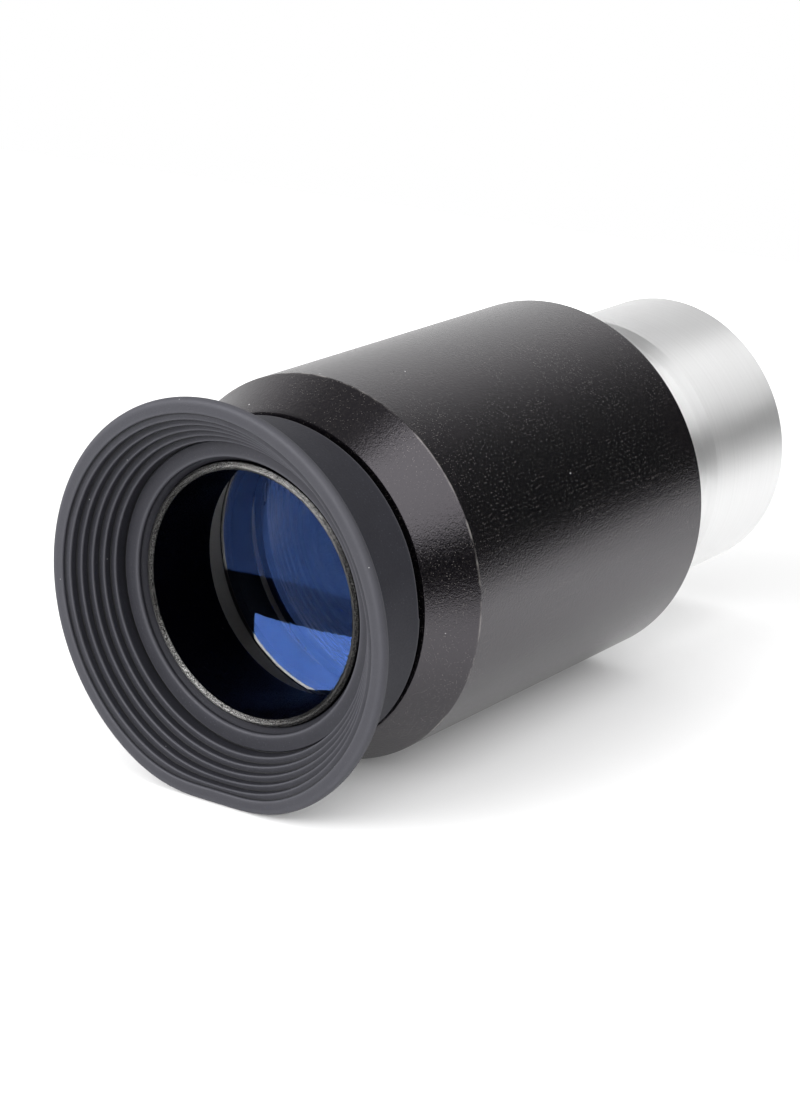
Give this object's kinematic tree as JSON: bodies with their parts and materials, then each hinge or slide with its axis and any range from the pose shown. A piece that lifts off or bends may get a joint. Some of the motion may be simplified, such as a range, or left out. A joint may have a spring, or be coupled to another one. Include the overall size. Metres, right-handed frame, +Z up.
{
  "type": "telescope eyepiece",
  "caption": "Push-fit telescope eyepiece: black barrel with bevelled eye end, stepped rubber eyecup, two cemented lens groups and a satin metal nosepiece with a safety undercut.",
  "frame": {"origin": "on the optical axis, in the plane of the barrel's end face, where a focuser stops", "axes": "+Y along the optical axis from the eye to the nosepiece's open end, +Z up with the eyepiece lying on its side, +X to the right seen from the eye"},
  "size_m": [0.0418, 0.0824, 0.0409],
  "materials": {
    "rubber": "matte moulded rubber",
    "black_anodised": "fine sand-blasted, black anodised",
    "gloss_black": "turned, gloss black anodised",
    "matte_black": "turned, matte black anodised",
    "coated_glass": "polished, blue anti-reflection coating",
    "clear_glass": "polished optical glass",
    "satin_aluminium": "fine turned satin"
  },
  "bodies": {
    "barrel": {"main_barrel": "black_anodised", "neck_sleeve": "gloss_black", "eye_flint": "coated_glass", "eye_crown": "clear_glass", "lens_spacer": "matte_black", "field_crown": "clear_glass", "field_flint": "coated_glass", "field_ring": "matte_black"},
    "eyecup": {"eyecup": "rubber"},
    "field_stop": {"field_stop": "matte_black"},
    "nosepiece": {"nosepiece": "satin_aluminium"}
  },
  "joints": [
    {"name": "eyecup_pull", "type": "slide", "parent": "barrel", "child": "eyecup", "axis": [0, -1, 0], "range_m": [0, 0.012]},
    {"name": "nosepiece_advance", "type": "slide", "parent": "barrel", "child": "field_stop", "axis": [0, 1, 0], "range_m": [0, 0.003]},
    {"name": "nosepiece_turn", "type": "hinge", "parent": "field_stop", "child": "nosepiece", "pos_m": [0, 0, 0], "axis": [0, 1, 0], "range_deg": [0, 1440]}
  ],
  "couplings": [
    {"joint": "nosepiece_advance", "follows": "nosepiece_turn", "m_per_rad": 0.00011937}
  ]
}
